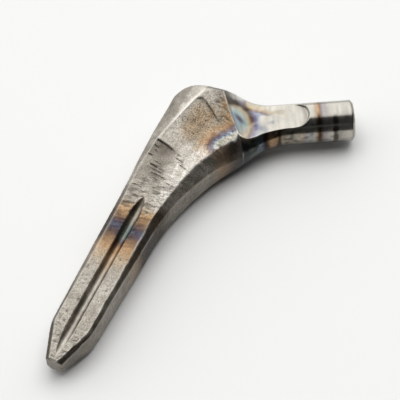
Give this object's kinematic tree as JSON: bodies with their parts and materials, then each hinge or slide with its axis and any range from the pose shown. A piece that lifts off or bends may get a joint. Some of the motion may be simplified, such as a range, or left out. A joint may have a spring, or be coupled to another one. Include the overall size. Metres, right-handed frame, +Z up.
{
  "type": "hip implant stem",
  "caption": "Forged titanium hip stem: tapered grooved shaft, broad rounded shoulder, flattened neck and a short round trunnion, lying on its side.",
  "frame": {"origin": "on the broad face that the stem lies on, under the place where the shaft's axis meets the neck's axis", "axes": "+X along the shaft from the tip to the shoulder, +Y to the outer (lateral) side, away from the neck, +Z up through the thickness"},
  "size_m": [0.1307, 0.061, 0.0166],
  "materials": {
    "forged_titanium": "forged and heat-tinted titanium, neck and trunnion machined"
  },
  "bodies": {
    "root": {"hip_stem": "forged_titanium"}
  },
  "joints": []
}
